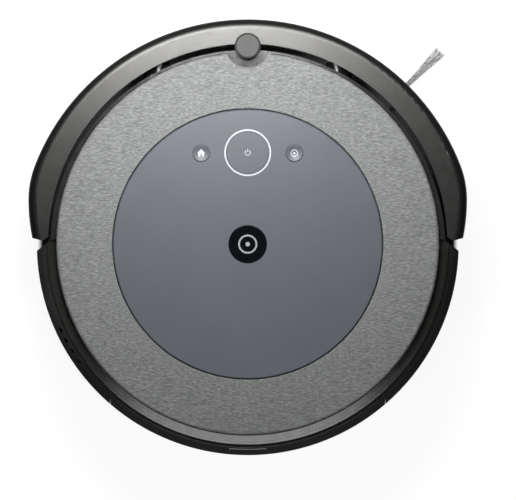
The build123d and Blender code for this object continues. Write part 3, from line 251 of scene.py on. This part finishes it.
def gloss_black(name, rough):
    """Polished black plastic with faint wipe marks."""
    g = Graph(name)
    cloud = g.noise(60.0, 3.0)
    g.colour(g.ramp(cloud, [(0.3, shade(GLOSS_TINT, 0.8)), (0.7, shade(GLOSS_TINT, 1.35))]))
    g.roughness(g.span(g.noise((500.0, 2600.0, 500.0), 4.0), rough, rough + 0.09))
    g.bump(g.noise(420.0, 3.0), 0.00001)
    return g.material


def lit_white(name, strength):
    """Milky white with slight mottling that glows faintly: a lit light guide, and a painted glow where
    printed marks use it.
    """
    g = Graph(name)
    mottle = g.noise(700.0, 3.0)
    g.colour(g.ramp(mottle, [(0.3, (0.62, 0.64, 0.66)), (0.7, (0.74, 0.75, 0.77))]))
    g.roughness(g.span(mottle, 0.28, 0.42))
    g.bump(mottle, 0.00001)
    g.set(Emission_Color=(0.93, 0.95, 1.0, 1.0), Emission_Strength=strength)
    return g.material


def puck_cap():
    """Satin grey cap."""
    g = Graph("cap_satin")
    cloud = g.noise(150.0, 3.0)
    g.colour(g.ramp(cloud, [(0.3, (0.060, 0.059, 0.058)), (0.7, (0.072, 0.071, 0.069))]))
    g.roughness(g.span(g.noise(900.0, 3.0), 0.48, 0.56))
    g.bump(g.noise(2600.0, 2.0), 0.00002)
    return g.material


# ---------------------------------------------------------------- materials of the rest
def rubber(name, base, depth=0.00009):
    """Dull rubber: bloom, dust in the low spots, fine mould grain."""
    g = Graph(name)
    grain = g.noise(1500.0, 4.0)
    bloom = g.noise(60.0, 5.0)
    tint = g.ramp(bloom, [(0.35, base), (0.75, shade(base, 1.7))])
    g.colour(g.mix(g.span(grain, 0.0, 0.4, (0.4, 0.7)), tint, shade(base, 0.6)))
    g.roughness(g.span(bloom, 0.62, 0.85))
    g.bump(grain, depth)
    return g.material


def circuit_board():
    """Green solder mask over copper tracks, with small plated pads."""
    g = Graph("solder_mask")
    tracks = g.add("ShaderNodeTexBrick")
    tracks.inputs["Scale"].default_value = 120.0
    tracks.inputs["Mortar Size"].default_value = 0.035
    tracks.inputs["Color1"].default_value = (0.010, 0.095, 0.040, 1.0)
    tracks.inputs["Color2"].default_value = (0.013, 0.110, 0.048, 1.0)
    tracks.inputs["Mortar"].default_value = (0.050, 0.220, 0.090, 1.0)
    g.link(g.stretched((1.0, 1.0, 1.0), (0, 0, radians(45))), tracks.inputs["Vector"])
    pads = g.span(g.cells(210.0), 1.0, 0.0, (0.10, 0.14))
    g.colour(g.mix(pads, tracks.outputs["Color"], (0.62, 0.47, 0.22)))
    g.roughness(g.span(g.noise(500.0, 3.0), 0.25, 0.42))
    g.bump(tracks.outputs["Fac"], 0.00004)
    return g.material


def filter_paper():
    """Cream paper in sharp pleats, with painted shade darkening the pleats' valleys."""
    g = Graph("pleated_paper")
    pleats = g.wave(90.0, "X")
    fibre = g.noise((900.0, 900.0, 2600.0), 4.0)
    paper = g.ramp(fibre, [(0.3, (0.62, 0.60, 0.53)), (0.7, (0.78, 0.76, 0.69))])
    # Painted shade: the paper darkens towards the low half of each pleat, the valleys of the bump.
    g.colour(g.mix(g.span(pleats, 0.55, 0.0, (0.0, 0.5)), paper, (0.36, 0.34, 0.29)))
    g.roughness(g.span(fibre, 0.75, 0.95))
    g.bump(g.maths("ADD", pleats, g.maths("MULTIPLY", fibre, 0.15)), 0.0012)
    return g.material


def smoked_plastic():
    """Smoky see-through bin plastic with a dusty haze and scuffs."""
    g = Graph("smoked_plastic")
    dust = g.noise(75.0, 5.0)
    g.colour(g.ramp(dust, [(0.35, (0.16, 0.165, 0.17)), (0.75, (0.26, 0.262, 0.26))]))
    g.roughness(g.span(g.noise((300.0, 2200.0, 700.0), 4.0), 0.14, 0.34))
    g.bump(g.noise(1800.0, 2.0), 0.00002)
    g.set(Transmission_Weight=0.35, IOR=1.49)
    return g.material


def battery_wrap():
    """Dark blue shrink film over cells, with faint ridges."""
    g = Graph("battery_film")
    ridges = g.wave(26.0, "X")
    cloud = g.noise(90.0, 4.0)
    g.colour(g.ramp(cloud, [(0.3, (0.012, 0.022, 0.060)), (0.7, (0.020, 0.036, 0.090))]))
    g.roughness(g.span(cloud, 0.28, 0.42))
    g.bump(g.maths("ADD", ridges, g.maths("MULTIPLY", cloud, 0.3)), 0.0004)
    return g.material


def bristle_fibre():
    """Pale grey nylon fibre with lighter and darker stretches."""
    g = Graph("nylon_fibre")
    along = g.noise((420.0, 420.0, 900.0), 3.0)
    g.colour(g.ramp(along, [(0.3, (0.42, 0.42, 0.41)), (0.7, (0.72, 0.72, 0.71))]))
    g.roughness(g.span(along, 0.38, 0.55))
    g.bump(g.noise(3000.0, 2.0), 0.00001)
    return g.material


PLATE_TINT = (0.132, 0.142, 0.160)
DARK = moulded("chassis_black", (0.022, 0.022, 0.023), 0.52)
DARK_TRIM = moulded("trim_black", (0.030, 0.030, 0.031), 0.42, grain=3200.0, depth=0.00003)
GREY = moulded("inner_grey", (0.155, 0.158, 0.162), 0.48)
PALE_GREY = moulded("moving_grey", (0.250, 0.253, 0.258), 0.42, grain=2200.0)
STEEL = metal("drawn_steel", (0.62, 0.61, 0.59), 0.28)
MOTOR_STEEL = metal("motor_can", (0.50, 0.50, 0.49), 0.33, (2600.0, 260.0, 260.0))
CONTACT = metal("plated_contact", (0.80, 0.72, 0.52), 0.22, (4000.0, 260.0, 300.0))
PLATE = satin_plate("satin_blue_grey", PLATE_TINT)
LENS = gloss_black("lens_black", 0.06)

SURFACES = {
    graphite_shell(): ["bumper_shell"],
    body_black(): ["upper_housing", "bin_cover", "bin_release"],
    DARK: ["lower_chassis", "battery_door", "wheel_housing_left", "wheel_housing_right", "speaker"],
    DARK_TRIM: ["brush_guard", "caster_fork", "roller_front_core", "roller_rear_core"],
    GREY: ["head_frame", "suction_duct", "blower_housing", "side_brush_motor", "bump_switches",
           "roller_bearings", "drive_arm_left", "drive_arm_right"],
    PALE_GREY: ["wheel_hub_left", "wheel_hub_right", "guard_latch", "side_brush_hub", "evac_flap",
                "impeller"],
    STEEL: ["suspension_pins", "drop_springs", "bumper_springs", "caster_axle", "side_brush_screw",
            "chassis_screws"],
    MOTOR_STEEL: ["blower_motor", "head_motor", "drive_motor_left", "drive_motor_right"],
    CONTACT: ["charging_contacts"],
    PLATE: ["faceplate", "clean_button"],
    satin_plate("satin_button", shade(PLATE_TINT, 1.1)): ["home_button", "spot_button"],
    woven_ring(): ["fabric_ring"],
    gloss_black("badge_gloss", 0.07): ["badge"],
    lit_white("light_guide", 0.05): ["light_ring"],
    puck_cap(): ["sensor_cap"],
    LENS: ["bumper_window", "sensor_lens", "floor_sensor_windows"],
    rubber("tyre_rubber", (0.020, 0.020, 0.020)): ["tyre_left", "tyre_right"],
    rubber("caster_tread", (0.045, 0.045, 0.046)): ["caster_wheel"],
    rubber("roller_rubber", (0.050, 0.085, 0.070), 0.00006): ["roller_front_sleeve", "roller_rear_sleeve"],
    circuit_board(): ["control_board", "main_board"],
    filter_paper(): ["bin_filter"],
    smoked_plastic(): ["bin_body"],
    battery_wrap(): ["battery_pack"],
}
for surface, names in SURFACES.items():
    for name in names:
        NODES[name].data.materials.clear()
        NODES[name].data.materials.append(surface)


# ---------------------------------------------------------------- small new pieces
def new_piece(name, points, faces, surface, body):
    mesh = bpy.data.meshes.new(name)
    mesh.from_pydata(points, [], faces)
    mesh.materials.append(surface)
    mesh.update()
    piece = bpy.data.objects.new(name, mesh)
    bpy.context.scene.collection.objects.link(piece)
    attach(piece, body)
    return piece


def grid_patch(corners, cells):
    """Quads over a four-cornered patch, fine enough to follow a dished surface."""
    a, b, c, d = corners
    points, faces = [], []
    for i in range(cells + 1):
        for j in range(cells + 1):
            u, v = i / cells, j / cells
            x = (a[0] * (1 - u) + b[0] * u) * (1 - v) + (d[0] * (1 - u) + c[0] * u) * v
            y = (a[1] * (1 - u) + b[1] * u) * (1 - v) + (d[1] * (1 - u) + c[1] * u) * v
            points.append((x, y))
    for i in range(cells):
        for j in range(cells):
            k = i * (cells + 1) + j
            faces.append((k, k + cells + 1, k + cells + 2, k + 1))
    return points, faces


def arc_patch(r_in, r_out, start, end, steps):
    """Quads of a flat ring sector, angles in degrees."""
    points, faces = [], []
    for k in range(steps + 1):
        a = radians(start + (end - start) * k / steps)
        points += [(r_in * cos(a), r_in * sin(a)), (r_out * cos(a), r_out * sin(a))]
    for k in range(steps):
        faces.append((2 * k, 2 * k + 1, 2 * k + 3, 2 * k + 2))
    return points, faces


PRINT_T = 0.05 * MM
PRINT_LIFT = 0.01 * MM
DISH_R, DISH_DEPTH = 16.0, 1.3
PLATE_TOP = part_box("faceplate")[1].z


def printed_mark(name, patches, node, height_at, body, surface):
    """A printed mark on a button or badge, centred on the node, as a thin film that follows its face."""
    low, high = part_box(node)
    middle = (low + high) / 2
    points, faces = [], []
    for patch_points, patch_faces in patches:
        base = len(points)
        for x, y in patch_points:
            points.append((middle.x + x * MM, middle.y + y * MM, height_at(x, y, high.z)))
        faces += [tuple(base + k for k in face) for face in patch_faces]
    piece = new_piece(name, points, faces, surface, body)
    film = piece.modifiers.new("film", "SOLIDIFY")
    film.thickness = PRINT_T
    film.offset = 1.0
    return piece


def on_flat(x, y, top):
    return top + PRINT_LIFT


def on_dish(x, y, top):
    """Height of a small button's hollow, which is part of a sphere."""
    centre = PLATE_TOP + (DISH_R - DISH_DEPTH) * MM
    return centre - sqrt(DISH_R**2 - x * x - y * y) * MM + PRINT_LIFT


# The printed marks glow faintly through emission, a painted glow: they hold no lamp.
mark_white_painted_glow = lit_white("mark_white_painted_glow", 0.12)
power = [
    arc_patch(1.75, 2.25, 125, 415, 40),
    grid_patch(((-0.25, 0.4), (0.25, 0.4), (0.25, 2.7), (-0.25, 2.7)), 2),
]
printed_mark("power_mark", power, "clean_button", on_flat, "clean_button", mark_white_painted_glow)

house = [
    grid_patch(((-3.1, 0.1), (3.1, 0.1), (0.12, 3.0), (-0.12, 3.0)), 6),
    grid_patch(((-2.2, -2.5), (-0.7, -2.5), (-0.7, 0.1), (-2.2, 0.1)), 4),
    grid_patch(((0.7, -2.5), (2.2, -2.5), (2.2, 0.1), (0.7, 0.1)), 4),
    grid_patch(((-0.7, -0.8), (0.7, -0.8), (0.7, 0.1), (-0.7, 0.1)), 3),
]
printed_mark("home_mark", house, "home_button", on_dish, "home_button", mark_white_painted_glow)

target = [arc_patch(2.2, 2.75, 0, 360, 48), arc_patch(0.0, 0.95, 0, 360, 32)]
printed_mark("spot_mark", target, "spot_button", on_dish, "spot_button", mark_white_painted_glow)

badge_grey = satin_plate("badge_mark_grey", (0.42, 0.43, 0.44))
emblem = [arc_patch(6.0, 7.3, 0, 360, 72), arc_patch(0.0, 1.7, 0, 360, 40)]
printed_mark("badge_mark", emblem, "badge", on_flat, "robot_body", badge_grey)


# ---------------------------------------------------------------- side brush bristles
TUFT_SEED = 7
TUFT_ROOT, TUFT_TIP = 31.6, 74.2  # distances from the brush's axis, mm
ROOT_HALF, TIP_HALF = 1.45, 4.3  # half widths of a tuft, mm
ROOT_Z, TUFT_FALL = 6.6, 4.6  # height at the root and the drop to the tip, mm
FIRST_ARM = 45.0  # degrees


def bristle_tufts():
    """Three fans of tapered nylon fibres that bow down to the floor."""
    rng = random.Random(TUFT_SEED)
    low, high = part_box("side_brush_screw")
    hub = (low + high) / 2
    fibres, rings, sides = 84, 9, 5
    points, faces = [], []
    for arm in range(3):
        lead = radians(FIRST_ARM + 120.0 * arm)
        out = Vector((cos(lead), sin(lead), 0.0))
        across = Vector((-out.y, out.x, 0.0))
        for _ in range(fibres):
            start, spread = rng.uniform(-ROOT_HALF, ROOT_HALF), rng.uniform(-TIP_HALF, TIP_HALF)
            lift, reach = rng.uniform(-0.8, 0.8), TUFT_TIP - abs(rng.gauss(0.0, 2.2))
            bow = rng.uniform(-0.6, 0.6)
            radius = rng.uniform(0.13, 0.19)
            base = len(points)
            for k in range(rings):
                t = k / (rings - 1)
                side = start * (1 - t) + spread * t + bow * sin(pi * t)
                height = ROOT_Z - TUFT_FALL * t**1.3 + lift * (0.4 + 0.5 * t)
                middle = out * (TUFT_ROOT + (reach - TUFT_ROOT) * t) + across * side
                thin = radius * (1.0 - 0.45 * t)
                for s in range(sides):
                    a = 2 * pi * s / sides
                    offset = across * (thin * cos(a)) + Vector((0, 0, thin * sin(a)))
                    place = middle + offset
                    points.append((hub.x + place.x * MM, hub.y + place.y * MM, (height + offset.z) * MM))
            for k in range(rings - 1):
                for s in range(sides):
                    a, b = base + k * sides + s, base + k * sides + (s + 1) % sides
                    faces.append((a, b, b + sides, a + sides))
            faces.append(tuple(base + s for s in reversed(range(sides))))
            faces.append(tuple(base + (rings - 1) * sides + s for s in range(sides)))
    piece = new_piece("bristle_fibres", points, faces, bristle_fibre(), "side_brush")
    for polygon in piece.data.polygons:
        polygon.use_smooth = len(polygon.vertices) == 4
    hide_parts("side_brush_bristles")


bristle_tufts()


# ---------------------------------------------------------------- floor, light and camera
FLOOR_GLOW = 0.93
FLOOR_SIZE = 12.0
RING_CENTRE = (0.0, -0.005, 0.0)
PAINTED_SHADE_R = (0.1590, 0.1625)  # painted shade under the object: the floor's glow is off inside the first radius and full past the second


def floor_surface():
    """Pale seamless floor that reads as white, apart from the object's own shadow and a painted shade
    under its footprint, where the glow is turned off.
    """
    g = Graph("studio_floor")
    cloud = g.noise(6.0, 3.0)
    g.colour(g.ramp(cloud, [(0.3, (0.30, 0.30, 0.30)), (0.7, (0.32, 0.32, 0.32))]))
    g.roughness(g.span(cloud, 0.7, 0.8))
    away = g.add("ShaderNodeVectorMath", operation="DISTANCE")
    g.link(g.place, away.inputs[0])
    away.inputs[1].default_value = RING_CENTRE
    # Painted shade: the glow fades out under the object, so the floor seen between its parts stays dark.
    clear = g.span(away.outputs["Value"], 0.0, FLOOR_GLOW, PAINTED_SHADE_R)
    seen = g.add("ShaderNodeLightPath").outputs["Is Camera Ray"]
    g.link(g.maths("MULTIPLY", clear, seen), g.shader.inputs["Emission Strength"])
    g.set(Emission_Color=(1.0, 1.0, 1.0, 1.0), Specular_IOR_Level=0.1)
    return g.material


bpy.ops.mesh.primitive_plane_add(size=FLOOR_SIZE, location=(0, 0, 0))
floor = bpy.context.object
floor.name = "floor"
floor.data.materials.append(floor_surface())


def softbox(name, place, aim, size, watts):
    """A soft rectangular lamp that the camera doesn't see."""
    lamp = bpy.data.lights.new(name, "AREA")
    lamp.shape = "RECTANGLE"
    lamp.size, lamp.size_y = size
    lamp.energy = watts
    lamp_object = bpy.data.objects.new(name, lamp)
    lamp_object.location = place
    lamp_object.rotation_euler = (Vector(aim) - Vector(place)).to_track_quat("-Z", "Y").to_euler()
    lamp_object.visible_camera = False
    bpy.context.scene.collection.objects.link(lamp_object)


softbox("front_box", (-0.035, 0.20, 0.46), (-0.035, 0.19, 0.088), (0.20, 0.07), 1.05)
softbox("sweep_box", (-0.02, 0.27, 0.39), (-0.01, 0.20, 0.088), (0.40, 0.16), 1.35)
softbox("high_box", (0.0, 0.9, 1.9), (0.0, 0.0, 0.05), (1.2, 0.8), 0.1)
softbox("back_box", (0.0, -0.165, 0.50), (0.0, -0.165, 0.088), (0.22, 0.07), 0.18)

world = bpy.data.worlds.new("studio")
world.use_nodes = True
world.node_tree.nodes["Background"].inputs["Color"].default_value = (0.95, 0.96, 1.0, 1.0)
world.node_tree.nodes["Background"].inputs["Strength"].default_value = 0.018
bpy.context.scene.world = world
bpy.context.scene.view_settings.view_transform = "Standard"

FRAME_WIDTH = 0.3965  # metres across the picture at the height of the top face
TOP_Z = 0.088
CAMERA_Z = 14.0
camera_data = bpy.data.cameras.new("camera")
camera_data.sensor_width = 36.0
camera_data.lens = 36.0 * (CAMERA_Z - TOP_Z) / FRAME_WIDTH
camera = bpy.data.objects.new("camera", camera_data)
camera.location = (0.0079, -0.0095, CAMERA_Z)
bpy.context.scene.collection.objects.link(camera)
bpy.context.scene.camera = camera
